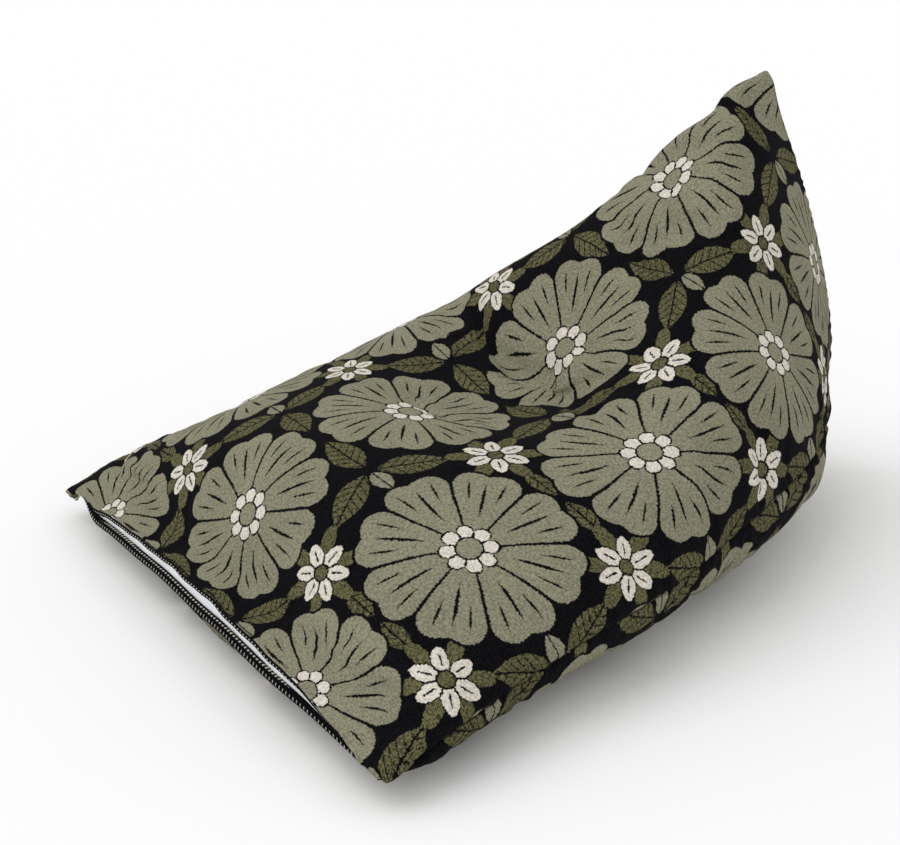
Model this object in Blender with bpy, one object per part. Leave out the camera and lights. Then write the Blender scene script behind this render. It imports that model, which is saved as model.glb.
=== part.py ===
# Lounge bean bag: a filled woven tube, closed flat across the foot and upright down the back.
# Metres, +Z up. The foot edge lies towards -Y and the tip of the backrest towards +Y.

import bpy
import bmesh
import numpy as np

# Driving sizes
PANEL_LENGTH = 1.31      # top panel from the foot edge to the tip, along the cloth
SEAM_ACROSS = 0.50       # from its middle line out to a side seam, across the cloth
BELLY_FOOT_Y = -0.07     # where the underside's middle line starts, at the foot
BELLY_BACK_Y = 0.75      # and where it ends on the floor, at the foot of the back seam
BELLY_Z = -0.013         # the fill would sink this far without a floor
BELLY_TUCK = 0.10        # length of the foot wedge over which the underside drops to the floor
FLOOR_BLEND = 0.004      # softness of the edge round the flat resting patch

# Underside roundness, named as the columns of SECTIONS are
BELLY_SIDE_ROUND = 1.5
BELLY_TOP_ROUND = 3.8
BELLY_LEAN = 3.4

# Cross sections of the top panel, one row for each distance along the cloth from the foot.
# crown is the middle line, seam the side seam. A higher round gives a boxier section, and a
# higher lean bends the section round towards the back.
SECTIONS = [
    # along, crown_y, crown_z, seam_x, seam_y, seam_z, side_round, top_round, lean
    (0.00, -0.035, 0.080, 0.470, -0.035, 0.035, 2.6, 2.2, 0.8),
    (0.08, 0.010, 0.115, 0.475, 0.030, 0.060, 2.2, 3.2, 1.2),
    (0.20, 0.070, 0.210, 0.450, 0.140, 0.075, 1.8, 2.4, 1.6),
    (0.36, 0.210, 0.275, 0.425, 0.295, 0.100, 1.7, 2.1, 1.6),
    (0.52, 0.365, 0.290, 0.395, 0.450, 0.115, 3.2, 2.7, 1.9),
    (0.68, 0.515, 0.335, 0.350, 0.600, 0.135, 5.6, 3.3, 2.0),
    (0.84, 0.620, 0.425, 0.295, 0.755, 0.155, 5.8, 1.9, 1.8),
    (1.00, 0.715, 0.505, 0.215, 0.890, 0.170, 5.0, 1.2, 1.6),
    (1.15, 0.810, 0.600, 0.110, 0.995, 0.200, 4.0, 1.8, 1.6),
    (1.31, 0.930, 0.670, 0.000, 1.110, 0.205, 3.3, 3.5, 1.4),
]

# Where the cloth is pressed in or filled out: the place on the cloth, how far it reaches and
# how much it moves the surface
PUSHES = [
    # along, across, reach_along, reach_across, push_y, push_z
    (0.70, 0.00, 0.23, 0.215, 0.000, -0.083),
    (1.25, 0.00, 0.06, 0.12, -0.018, 0.010),
    (1.31, 0.00, 0.035, 0.05, 0.010, 0.000),
]

# Creases and the ridges beside them, as straight runs on the cloth. Depth is inward.
TOP_FOLDS = [
    # along, across, to_along, to_across, width, depth
    (0.68, -0.24, 0.70, -0.02, 0.040, 0.015),
    (0.60, -0.22, 0.61, -0.10, 0.050, -0.006),
    (0.11, -0.45, 0.24, -0.36, 0.050, 0.008),
    (0.72, 0.20, 0.80, 0.40, 0.050, 0.006),
    (1.16, -0.10, 1.24, 0.04, 0.030, 0.006),
]
UNDER_FOLDS = [
    # along, across, to_along, to_across, width, depth
    (0.72, 0.43, 0.90, 0.43, 0.050, -0.006),
    (0.97, 0.43, 1.06, 0.43, 0.045, -0.009),
    (1.06, 0.46, 1.12, 0.34, 0.035, 0.012),
    (1.14, 0.45, 1.20, 0.30, 0.035, -0.010),
    (1.22, 0.46, 1.25, 0.32, 0.035, 0.014),
    (1.08, -0.45, 1.15, -0.33, 0.035, 0.012),
    (1.20, -0.46, 1.24, -0.30, 0.035, 0.012),
]
FOLD_HOLD = 0.035        # folds die away this far from the seams and the foot edge

# Foot edge, from the top panel's fold to the underside panel's, out from and up from its line
FOOT_PROFILE = [
    # out, up
    (0.0070, 0.0090),
    (0.0110, 0.0050),
    (0.0085, 0.0005),
    (0.0030, 0.0005),
    (0.0030, -0.0212),
    (0.0090, -0.0204),
    (0.0140, -0.0230),
    (0.0167, -0.0255),
    (0.0120, -0.0297),
]
GROOVE_ROW = 3           # the two profile rows from here are the groove's back wall
UPPER_LIP_RISE = 0.0095  # the top panel is lifted this much over the zip
LOWER_LIP_DROP = 0.030   # and the underside panel lowered this much
LIP_REACH = 0.07         # along the cloth, where that lift has died away
GAP_LEAST = 0.0012       # what is left of the groove where it is shut

# How far the lips stand out and how far they part over the zip, as shares, at places across
# the foot. The foot is a plain edge past the ends of this table.
FOOT = [
    # x, standing_out, parted
    (-0.445, 0.00, 0.00),
    (-0.410, 0.26, 0.00),
    (-0.380, 0.63, 0.06),
    (-0.340, 0.98, 0.25),
    (-0.260, 1.00, 0.62),
    (-0.200, 1.00, 0.66),
    (-0.120, 1.00, 0.86),
    (-0.040, 1.00, 0.90),
    (0.030, 1.00, 0.94),
    (0.100, 1.00, 0.80),
    (0.200, 0.99, 0.64),
    (0.280, 0.89, 0.60),
    (0.340, 0.72, 0.30),
    (0.385, 0.58, 0.00),
    (0.410, 0.40, 0.00),
    (0.430, 0.17, 0.00),
    (0.445, 0.00, 0.00),
]

# Foot corners: blunt ends that stand out from the two edges that meet there
CORNERS = [
    # side, radius, stand_out, reach, thickness
    (-1, 0.018, 0.015, 0.036, 0.010),
    (1, 0.048, 0.020, 0.060, 0.012),
]
CORNER_EDGE = 0.004      # the extra thickness starts this far from the seams
PADDED_SHARE = 0.7       # and covers this share of the reach

# Zip tape in the groove
TAPE_THICKNESS = 0.002
CLEARANCE = 0.00035
TAPE_LEAST_HALF = 0.002  # the tape stops where the groove gets narrower than this

# Mesh steps
HALF_COLUMNS = 16        # from the middle line out to a seam
FOOT_ROWS = (0.0, 0.008, 0.022)
BODY_START = 0.045       # along the cloth, where the even rows begin
BODY_ROWS = 42
ARC_STEPS = 61
MERGE_DISTANCE = 0.00002


def clear_scene():
    for old in list(bpy.data.objects):
        bpy.data.objects.remove(old, do_unlink=True)


def fade(value):
    t = np.clip(value, 0.0, 1.0)
    return t * t * (3.0 - 2.0 * t)


def natural_spline(knots, values, at):
    # Smooth curve through the rows of a table, straight at both ends.
    gap = np.diff(knots)
    count = len(knots)
    system = np.eye(count)
    bend = np.zeros_like(values)
    for i in range(1, count - 1):
        system[i, i - 1:i + 2] = gap[i - 1], 2.0 * (gap[i - 1] + gap[i]), gap[i]
        slope_change = (values[i + 1] - values[i]) / gap[i] - (values[i] - values[i - 1]) / gap[i - 1]
        bend[i] = 6.0 * slope_change
    curve = np.linalg.solve(system, bend)
    i = np.clip(np.searchsorted(knots, at, side="right") - 1, 0, count - 2)
    width = gap[i][:, None]
    right = (at - knots[i])[:, None] / width
    left = 1.0 - right
    ends = left * values[i] + right * values[i + 1]
    bulge = (left ** 3 - left) * curve[i] + (right ** 3 - right) * curve[i + 1]
    return ends + bulge * width ** 2 / 6.0


def even_points(points, count):
    # The same line with its points evenly spaced along it.
    steps = np.linalg.norm(np.diff(points, axis=0), axis=1)
    run = np.concatenate([[0.0], np.cumsum(steps)])
    at = np.linspace(0.0, run[-1], count)
    return np.stack([np.interp(at, run, points[:, axis]) for axis in range(3)], axis=1)


def half_section(middle_y, middle_z, seam, side_round, top_round, lean):
    # From the middle line out to the side seam at x, y, z.
    angle = np.linspace(0.0, np.pi / 2, ARC_STEPS)
    height = np.cos(angle) ** (2.0 / top_round)
    height[-1] = 0.0
    x = seam[0] * np.sin(angle) ** (2.0 / side_round)
    y = seam[1] + (middle_y - seam[1]) * height ** lean
    z = seam[2] + (middle_z - seam[2]) * height
    return even_points(np.stack([x, y, z], axis=1), HALF_COLUMNS + 1)


def mirrored(half):
    left = half[:0:-1] * [-1.0, 1.0, 1.0]
    return np.concatenate([left, half])


def rest_on_floor(z):
    # Flattens what would be under the floor, with a soft edge.
    soft = (z + FLOOR_BLEND) ** 2 / (4.0 * FLOOR_BLEND)
    return np.where(z < -FLOOR_BLEND, 0.0, np.where(z < FLOOR_BLEND, soft, z))


def across_positions():
    # How far each column lies from the middle line, on the cloth.
    return np.linspace(-SEAM_ACROSS, SEAM_ACROSS, 2 * HALF_COLUMNS + 1)


def outward(grid):
    # Unit normals of a panel's grid, which point up out of the top panel.
    normal = np.cross(np.gradient(grid, axis=1), np.gradient(grid, axis=0))
    length = np.linalg.norm(normal, axis=2, keepdims=True)
    return normal / np.maximum(length, 1e-9)


def fold_heights(rows, folds):
    # How far the folds lift each point of a panel, soft on both sides of their lines.
    along = rows[:, None]
    across = across_positions()[None, :]
    height = np.zeros((len(rows), across.shape[1]))
    for from_along, from_across, to_along, to_across, width, depth in folds:
        run_along = to_along - from_along
        run_across = to_across - from_across
        part = (along - from_along) * run_along + (across - from_across) * run_across
        part = np.clip(part / (run_along ** 2 + run_across ** 2), 0.0, 1.0)
        far_along = along - from_along - part * run_along
        far_across = across - from_across - part * run_across
        height -= depth * np.exp(-(far_along ** 2 + far_across ** 2) / width ** 2)
    hold = fade((SEAM_ACROSS - np.abs(across)) / FOLD_HOLD)
    hold = hold * fade(along / FOLD_HOLD) * fade((PANEL_LENGTH - along) / FOLD_HOLD)
    return height * hold


def panels(rows):
    # Point grids of the top panel and the underside, foot first, left seam to right seam.
    table = np.array(SECTIONS)
    shaped = natural_spline(table[:, 0], table[:, 1:], rows)
    top = []
    under = []
    for along, values in zip(rows, shaped):
        crown_y, crown_z, seam_x, seam_y, seam_z, side_round, top_round, lean = values
        if along == rows[-1]:
            seam_x = 0.0
        seam = (seam_x, seam_y, seam_z)
        top.append(mirrored(half_section(crown_y, crown_z, seam, side_round, top_round, lean)))
        share = fade(along / BELLY_TUCK)
        line_y = BELLY_FOOT_Y + (BELLY_BACK_Y - BELLY_FOOT_Y) * along / PANEL_LENGTH
        belly_y = crown_y + (line_y - crown_y) * share
        belly_z = crown_z + (BELLY_Z - crown_z) * share
        rounds = np.array([side_round, top_round, lean])
        rounds += (np.array([BELLY_SIDE_ROUND, BELLY_TOP_ROUND, BELLY_LEAN]) - rounds) * share
        under.append(mirrored(half_section(belly_y, belly_z, seam, *rounds)))
    top = np.array(top)
    under = np.array(under)
    across = across_positions()[None, :]
    inside = 1.0 - (across / SEAM_ACROSS) ** 2
    for along, side, reach_along, reach_across, push_y, push_z in PUSHES:
        far = ((rows[:, None] - along) / reach_along) ** 2 + ((across - side) / reach_across) ** 2
        share = np.exp(-far) * inside
        top[:, :, 1] += push_y * share
        top[:, :, 2] += push_z * share
    top += outward(top) * fold_heights(rows, TOP_FOLDS)[:, :, None]
    under -= outward(under) * fold_heights(rows, UNDER_FOLDS)[:, :, None]
    under[:, :, 2] = rest_on_floor(under[:, :, 2])
    return top, under


def foot_shares(foot_x):
    # How far the lips stand out and part at places across the foot.
    table = np.array(FOOT)
    first = table[0, 0]
    last = table[-1, 0]
    shares = natural_spline(table[:, 0], table[:, 1:], np.clip(foot_x, first, last))
    shares = np.clip(shares, 0.0, 1.0)
    shares[(foot_x <= first) | (foot_x >= last)] = 0.0
    return shares[:, 0], shares[:, 1]


def groove_shut(parted):
    # How far the upper lip comes down towards the lower one.
    height = FOOT_PROFILE[GROOVE_ROW][1] - FOOT_PROFILE[GROOVE_ROW + 1][1]
    return (height - GAP_LEAST) * (1.0 - parted)


def open_foot(rows, top, under):
    # Parts the two panels at the foot and returns the profile rows between them.
    line = top[0].copy()
    share, parted = foot_shares(line[:, 0])
    shut = groove_shut(parted)
    near = 1.0 - fade(rows / LIP_REACH)
    top[:, :, 2] += (UPPER_LIP_RISE - shut)[None, :] * near[:, None] * share[None, :]
    under[:, :, 2] -= LOWER_LIP_DROP * near[:, None] * share[None, :]
    under[:, :, 2] = np.maximum(under[:, :, 2], 0.0)
    profile = []
    for number, (out, up) in enumerate(FOOT_PROFILE):
        row = line.copy()
        row[:, 1] -= out * share
        row[:, 2] += (up - shut * (number <= GROOVE_ROW)) * share
        profile.append(row)
    return line, profile


def unit(vector):
    return vector / np.linalg.norm(vector)


def shape_corners(rows, top, under, profile):
    # Rounds the foot corners off, draws them out and pads them.
    foot = top[0]
    for side, radius, stand_out, reach, thickness in CORNERS:
        end = 0 if side < 0 else -1
        across = np.abs(across_positions() - side * SEAM_ACROSS)
        inner = int(np.argmin(np.abs(across - radius)))
        up_side = unit(top[int(np.argmin(np.abs(rows - radius))), end] - foot[end])
        in_foot = unit(foot[inner] - foot[end])
        outward_line = -unit(up_side + in_foot)
        padded = PADDED_SHARE * reach
        thick = thickness * np.exp(-(across[None, :] ** 2 + rows[:, None] ** 2) / padded ** 2)
        thick *= fade(across / CORNER_EDGE)[None, :] * fade(rows / CORNER_EDGE)[:, None]
        top += outward(top) * thick[:, :, None]
        under -= outward(under) * thick[:, :, None]
        shift = corner_shift(rows, across, radius, stand_out, reach, up_side, in_foot, outward_line)
        top += shift
        under += shift
        for row in profile:
            row += shift[0]


def corner_shift(rows, across, radius, stand_out, reach, up_side, in_foot, outward_line):
    # Moves the square of a corner into its inner circle, and the whole end outward.
    along = rows[:, None]
    gap = across[None, :]
    u = np.clip(1.0 - gap / radius, 0.0, 1.0)
    v = np.clip(1.0 - along / radius, 0.0, 1.0)
    drawn = radius * (1.0 - np.maximum(u, v) / np.maximum(np.hypot(u, v), 1e-9))
    drawn = np.where(np.minimum(u, v) > 0.0, drawn, 0.0)
    stand = stand_out * np.exp(-(gap ** 2 + along ** 2) / reach ** 2)
    rounding = (u * drawn)[:, :, None] * in_foot + (v * drawn)[:, :, None] * up_side
    return rounding + stand[:, :, None] * outward_line


def mesh_from_rows(name, rows, wrap=False):
    # Skins neighbouring rows with quads, joins what meets at the seams and faces it outward.
    work = bmesh.new()
    verts = [[work.verts.new(point) for point in row] for row in rows]
    pairs = list(zip(verts, verts[1:]))
    if wrap:
        pairs.append((verts[-1], verts[0]))
    for upper, lower in pairs:
        for i in range(len(upper) - 1):
            work.faces.new((upper[i], upper[i + 1], lower[i + 1], lower[i]))
    if wrap:
        work.faces.new([row[0] for row in verts])
        work.faces.new([row[-1] for row in reversed(verts)])
    bmesh.ops.remove_doubles(work, verts=work.verts, dist=MERGE_DISTANCE)
    bmesh.ops.dissolve_degenerate(work, edges=work.edges, dist=MERGE_DISTANCE)
    bmesh.ops.triangulate(work, faces=work.faces)
    bmesh.ops.recalc_face_normals(work, faces=work.faces)
    mesh = bpy.data.meshes.new(name)
    work.to_mesh(mesh)
    work.free()
    mesh.shade_smooth()
    return mesh


def material(name, colour, roughness):
    made = bpy.data.materials.new(name)
    made.use_nodes = True
    surface = made.node_tree.nodes["Principled BSDF"]
    surface.inputs["Base Color"].default_value = (*colour, 1.0)
    surface.inputs["Roughness"].default_value = roughness
    surface.inputs["Metallic"].default_value = 0.0
    return made


def add_object(mesh, look, collection, parent):
    thing = bpy.data.objects.new(mesh.name, mesh)
    thing.parent = parent
    mesh.materials.append(look)
    collection.objects.link(thing)
    return thing


def tape_rows(line):
    # A thin strip on the groove's back wall, as long as the groove is wide enough for it.
    out, ceiling = FOOT_PROFILE[GROOVE_ROW]
    floor = FOOT_PROFILE[GROOVE_ROW + 1][1]
    share, parted = foot_shares(line[:, 0])
    height = ceiling - floor - groove_shut(parted)
    half = height * share / 2 - CLEARANCE
    keep = half > TAPE_LEAST_HALF
    centre = line[keep]
    centre[:, 2] += ((floor + height / 2) * share)[keep]
    half = half[keep]
    back = -out * share[keep] - CLEARANCE
    corners = [(0.0, 1.0), (0.0, -1.0), (TAPE_THICKNESS, -1.0), (TAPE_THICKNESS, 1.0)]
    rows = []
    for forward, up in corners:
        row = centre.copy()
        row[:, 1] += back - forward
        row[:, 2] += half * up
        rows.append(row)
    return rows


def build():
    clear_scene()
    collection = bpy.data.collections.new("lounge_bean_bag")
    bpy.context.scene.collection.children.link(collection)
    rows = np.concatenate([FOOT_ROWS, np.linspace(BODY_START, PANEL_LENGTH, BODY_ROWS)])
    top, under = panels(rows)
    line, profile = open_foot(rows, top, under)
    shape_corners(rows, top, under, profile)
    bag_rows = list(top[::-1]) + profile + list(under)
    every = np.concatenate(bag_rows)
    low = every.min(axis=0)
    middle = (low + every.max(axis=0)) / 2

    frame = bpy.data.objects.new("frame", None)
    frame.location = (-middle[0], -middle[1], -low[2])
    collection.objects.link(frame)
    cloth = material("woven_cloth", (0.24, 0.235, 0.156), 0.9)
    tape = material("zip_cloth", (0.73, 0.76, 0.79), 0.7)
    add_object(mesh_from_rows("bag", bag_rows), cloth, collection, frame)
    add_object(mesh_from_rows("zip_tape", tape_rows(line), wrap=True), tape, collection, frame)


build()
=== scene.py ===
import math

import bpy
import numpy as np
from mathutils import Matrix, Vector


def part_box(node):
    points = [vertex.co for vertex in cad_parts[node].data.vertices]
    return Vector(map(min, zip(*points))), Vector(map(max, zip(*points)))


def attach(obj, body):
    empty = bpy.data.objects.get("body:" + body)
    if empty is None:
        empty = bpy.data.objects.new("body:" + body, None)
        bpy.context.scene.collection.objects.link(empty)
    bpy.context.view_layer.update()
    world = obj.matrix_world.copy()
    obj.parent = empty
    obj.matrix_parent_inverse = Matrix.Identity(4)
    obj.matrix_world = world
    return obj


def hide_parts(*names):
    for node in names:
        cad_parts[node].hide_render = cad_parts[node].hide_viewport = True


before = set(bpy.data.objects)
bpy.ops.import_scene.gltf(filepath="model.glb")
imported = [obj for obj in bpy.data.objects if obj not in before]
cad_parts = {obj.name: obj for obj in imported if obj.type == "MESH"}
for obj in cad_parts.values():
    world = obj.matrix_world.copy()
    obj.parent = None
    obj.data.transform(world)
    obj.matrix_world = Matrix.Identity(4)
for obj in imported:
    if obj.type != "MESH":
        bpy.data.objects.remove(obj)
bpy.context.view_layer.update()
bpy.ops.object.select_all(action="DESELECT")
print("frame loaded:", sorted(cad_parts))


# Camera

shot = {
    "azimuth": 57.1,                  # degrees round from the foot edge
    "elevation": 21.8,
    "distance": 2.47,
    "target": (-0.0245, -0.1528, 0.220),
    "lens": 68.6,
}


def placeCamera():
    turn = math.radians(shot["azimuth"])
    tilt = math.radians(shot["elevation"])
    back = Vector((math.sin(turn) * math.cos(tilt), -math.cos(turn) * math.cos(tilt), math.sin(tilt)))
    bpy.ops.object.camera_add(location=Vector(shot["target"]) + back * shot["distance"])
    made = bpy.context.object
    made.rotation_mode = "QUATERNION"
    made.rotation_quaternion = (-back).to_track_quat("-Z", "Y")
    made.data.lens = shot["lens"]
    bpy.context.scene.camera = made


placeCamera()
print("camera placed")


# The bag's form: the same sections as its solid, in the cloth's own frame

bag = {
    "panelLength": 1.31,              # top panel from the foot edge to the tip, along the cloth
    "seamAcross": 0.50,               # from its middle line out to a side seam
    "bellyFootY": -0.07,
    "bellyBackY": 0.75,
    "bellyZ": -0.013,
    "bellyTuck": 0.10,                # the underside takes its form over this stretch
    "bellyRounds": (1.5, 3.8, 3.4),   # side round, top round and lean of the underside
    "sectionPoints": 241,             # each section's curve is measured out with these
    "floorBlend": 0.004,
    "foldHold": 0.035,                # folds die away this far from the seams and the foot edge
    "upperLipRise": 0.0095,
    "lowerLipDrop": 0.030,
    "lipReach": 0.07,                 # the lips run out into the panels over this stretch
    "gapFloor": -0.0212,              # the lips part over the zip, from so far under the foot line
    "gapHeight": 0.0217,
    "gapLeast": 0.0012,
}
foot = [  # place across, and how far the lips stand out and part there, as shares
    (-0.445, 0.0, 0.0), (-0.41, 0.26, 0.0), (-0.38, 0.63, 0.06), (-0.34, 0.98, 0.25),
    (-0.26, 1.0, 0.62), (-0.20, 1.0, 0.66), (-0.12, 1.0, 0.86), (-0.04, 1.0, 0.90),
    (0.03, 1.0, 0.94), (0.10, 1.0, 0.80), (0.20, 0.99, 0.64), (0.28, 0.89, 0.60),
    (0.34, 0.72, 0.30), (0.385, 0.58, 0.0), (0.41, 0.40, 0.0), (0.430, 0.17, 0.0), (0.445, 0.0, 0.0),
]
sections = [  # along, crownY, crownZ, seamX, seamY, seamZ, sideRound, topRound, lean
    (0.00, -0.035, 0.080, 0.470, -0.035, 0.035, 2.6, 2.2, 0.8),
    (0.08, 0.010, 0.115, 0.475, 0.030, 0.060, 2.2, 3.2, 1.2),
    (0.20, 0.070, 0.210, 0.450, 0.140, 0.075, 1.8, 2.4, 1.6),
    (0.36, 0.210, 0.275, 0.425, 0.295, 0.100, 1.7, 2.1, 1.6),
    (0.52, 0.365, 0.290, 0.395, 0.450, 0.115, 3.2, 2.7, 1.9),
    (0.68, 0.515, 0.335, 0.350, 0.600, 0.135, 5.6, 3.3, 2.0),
    (0.84, 0.620, 0.425, 0.295, 0.755, 0.155, 5.8, 1.9, 1.8),
    (1.00, 0.715, 0.505, 0.215, 0.890, 0.170, 5.0, 1.2, 1.6),
    (1.15, 0.810, 0.600, 0.110, 0.995, 0.200, 4.0, 1.8, 1.6),
    (1.31, 0.930, 0.670, 0.000, 1.110, 0.205, 3.3, 3.5, 1.4),
]
pushes = [  # along, across, reachAlong, reachAcross, pushY, pushZ
    (0.70, 0.00, 0.23, 0.215, 0.000, -0.083),
    (1.25, 0.00, 0.06, 0.12, -0.018, 0.010),
    (1.31, 0.00, 0.035, 0.05, 0.010, 0.000),
]
topFolds = [  # along, across, toAlong, toAcross, width, depth inward
    (0.68, -0.24, 0.70, -0.02, 0.040, 0.015),
    (0.60, -0.22, 0.61, -0.10, 0.050, -0.006),
    (0.11, -0.45, 0.24, -0.36, 0.050, 0.008),
    (0.72, 0.20, 0.80, 0.40, 0.050, 0.006),
    (1.16, -0.10, 1.24, 0.04, 0.030, 0.006),
]
underFolds = [
    (0.72, 0.43, 0.90, 0.43, 0.050, -0.006),
    (0.97, 0.43, 1.06, 0.43, 0.045, -0.009),
    (1.06, 0.46, 1.12, 0.34, 0.035, 0.012),
    (1.14, 0.45, 1.20, 0.30, 0.035, -0.010),
    (1.22, 0.46, 1.25, 0.32, 0.035, 0.014),
    (1.08, -0.45, 1.15, -0.33, 0.035, 0.012),
    (1.20, -0.46, 1.24, -0.30, 0.035, 0.012),
]
tiny = 1e-9                           # stands in for a length of nought where it divides


def fade(value):
    t = np.clip(value, 0.0, 1.0)
    return t * t * (3.0 - 2.0 * t)


def smoothCurve(knots, values, at):
    # a natural cubic spline through rows of values
    gap = np.diff(knots)
    count = len(knots)
    system = np.eye(count)
    bend = np.zeros_like(values)
    for i in range(1, count - 1):
        system[i, i - 1:i + 2] = gap[i - 1], 2.0 * (gap[i - 1] + gap[i]), gap[i]
        slope = (values[i + 1] - values[i]) / gap[i]
        bend[i] = 6.0 * (slope - (values[i] - values[i - 1]) / gap[i - 1])
    curve = np.linalg.solve(system, bend)
    i = np.clip(np.searchsorted(knots, at, side="right") - 1, 0, count - 2)
    width = gap[i][:, None]
    right = (at - knots[i])[:, None] / width
    left = 1.0 - right
    ends = left * values[i] + right * values[i + 1]
    sag = (left ** 3 - left) * curve[i] + (right ** 3 - right) * curve[i + 1]
    return ends + sag * width ** 2 / 6.0


def halfSection(middleY, middleZ, seam, sideRound, topRound, lean, columns):
    # from the middle line out to a side seam, its points evenly spaced
    angle = np.linspace(0.0, math.pi / 2, bag["sectionPoints"])
    height = np.cos(angle) ** (2.0 / topRound)
    height[-1] = 0.0
    x = seam[0] * np.sin(angle) ** (2.0 / sideRound)
    y = seam[1] + (middleY - seam[1]) * height ** lean
    z = seam[2] + (middleZ - seam[2]) * height
    points = np.stack([x, y, z], axis=1)
    run = np.concatenate([[0.0], np.cumsum(np.linalg.norm(np.diff(points, axis=0), axis=1))])
    at = np.linspace(0.0, run[-1], columns + 1)
    half = np.stack([np.interp(at, run, points[:, axis]) for axis in range(3)], axis=1)
    return np.concatenate([half[:0:-1] * [-1.0, 1.0, 1.0], half])


def restOnFloor(z):
    soft = bag["floorBlend"]
    return np.where(z < -soft, 0.0, np.where(z < soft, (z + soft) ** 2 / (4.0 * soft), z))


def outward(grid):
    # unit normals of a panel's grid, up out of the top panel
    normal = np.cross(np.gradient(grid, axis=1), np.gradient(grid, axis=0))
    return normal / np.maximum(np.linalg.norm(normal, axis=2, keepdims=True), tiny)


def foldHeights(along, across, folds):
    # how far folds lift each point, soft on both sides of their lines
    hold = bag["foldHold"]
    height = np.zeros(np.broadcast(along, across).shape)
    for fromAlong, fromAcross, toAlong, toAcross, width, depth in folds:
        runAlong = toAlong - fromAlong
        runAcross = toAcross - fromAcross
        part = (along - fromAlong) * runAlong + (across - fromAcross) * runAcross
        part = np.clip(part / (runAlong ** 2 + runAcross ** 2), 0.0, 1.0)
        farAlong = along - fromAlong - part * runAlong
        farAcross = across - fromAcross - part * runAcross
        height = height - depth * np.exp(-(farAlong ** 2 + farAcross ** 2) / width ** 2)
    height = height * fade((bag["seamAcross"] - np.abs(across)) / hold)
    return height * fade(along / hold) * fade((bag["panelLength"] - along) / hold)


def panelGrids(rows, columns):
    # point grids of the top panel and the underside, foot first, left seam to right seam
    table = np.array(sections)
    shaped = smoothCurve(table[:, 0], table[:, 1:], rows)
    top = []
    under = []
    for along, values in zip(rows, shaped):
        crownY, crownZ, seamX, seamY, seamZ, sideRound, topRound, lean = values
        seam = (0.0 if along == rows[-1] else seamX, seamY, seamZ)
        top.append(halfSection(crownY, crownZ, seam, sideRound, topRound, lean, columns))
        share = fade(along / bag["bellyTuck"])
        lineY = bag["bellyFootY"] + (bag["bellyBackY"] - bag["bellyFootY"]) * along / bag["panelLength"]
        bellyY = crownY + (lineY - crownY) * share
        bellyZ = crownZ + (bag["bellyZ"] - crownZ) * share
        rounds = np.array([sideRound, topRound, lean])
        rounds += (np.array(bag["bellyRounds"]) - rounds) * share
        under.append(halfSection(bellyY, bellyZ, seam, *rounds, columns))
    top = np.array(top)
    under = np.array(under)
    along = rows[:, None]
    across = np.linspace(-bag["seamAcross"], bag["seamAcross"], 2 * columns + 1)[None, :]
    free = 1.0 - (across / bag["seamAcross"]) ** 2
    for pushAlong, pushAcross, reachAlong, reachAcross, pushY, pushZ in pushes:
        far = ((along - pushAlong) / reachAlong) ** 2 + ((across - pushAcross) / reachAcross) ** 2
        share = np.exp(-far) * free
        top[:, :, 1] += pushY * share
        top[:, :, 2] += pushZ * share
    top += outward(top) * foldHeights(along, across, topFolds)[:, :, None]
    under -= outward(under) * foldHeights(along, across, underFolds)[:, :, None]
    under[:, :, 2] = restOnFloor(under[:, :, 2])
    return top, under


# Filling: the cloth's own slack wrinkles over it

filling = {
    "footRows": (0.0, 0.005, 0.012, 0.022),
    "step": 0.0115,                   # grid step of the simulated cloth from there on
    "columns": 44,                    # from the middle line to a seam
    "frames": 20,
    "quality": 6,
    "mass": 0.3,
    "stretch": 25.0,                  # how stiff the cloth is
    "shear": 6.0,
    "bend": 0.6,
    "damping": 2.0,
    "pressure": 4.0,
    "slack": 0.015,                   # the cloth is this much longer than its way over the solid
    "hold": 0.05,                     # how firmly the filling holds the cloth in place
    "seamHold": 0.5,                  # and how much more the side seams are held
    "seamFrom": 0.75,
    "footHold": (0.02, 0.06),         # held up to here from the foot, then less over this stretch
    "floorHold": (0.001, 0.012),      # and so up from the floor
    "cap": 0.012,                     # no point moves further than this
    "softenPasses": 16,               # what is wider than this blur keeps the solid's form
    "footCalm": 0.05,                 # the cloth moves less and less to the foot and the tip
    "tipCalm": 0.25,
}


def newPiece(name, points, faces):
    mesh = bpy.data.meshes.new(name)
    mesh.from_pydata(points.tolist(), [], faces)
    made = bpy.data.objects.new(name, mesh)
    bpy.context.scene.collection.objects.link(made)
    return made


def meshPoints(mesh):
    points = np.zeros(len(mesh.vertices) * 3, np.float32)
    mesh.vertices.foreach_get("co", points)
    return points.reshape(-1, 3).astype(float)


def soften(field, passes):
    for _ in range(passes):
        wide = np.pad(field, ((1, 1), (0, 0), (0, 0)), mode="edge")
        field = (wide[:-2] + 2.0 * wide[1:-1] + wide[2:]) / 4.0
        wide = np.pad(field, ((0, 0), (1, 1), (0, 0)), mode="edge")
        field = (wide[:, :-2] + 2.0 * wide[:, 1:-1] + wide[:, 2:]) / 4.0
    return field


def numbered(grid):
    return np.arange(grid.shape[0] * grid.shape[1]).reshape(grid.shape[:2])


def clothBlocks(grid):
    # vertex numbers of both panels, which share the side seams
    top = numbered(grid)
    under = top + top.size
    under[:, 0] = top[:, 0]
    under[:, -1] = top[:, -1]
    return top, under


def gridFaces(numbers):
    a = numbers[:-1, :-1].ravel()
    b = numbers[:-1, 1:].ravel()
    c = numbers[1:, 1:].ravel()
    d = numbers[1:, :-1].ravel()
    return np.stack([a, b, c, d], axis=1)


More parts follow.
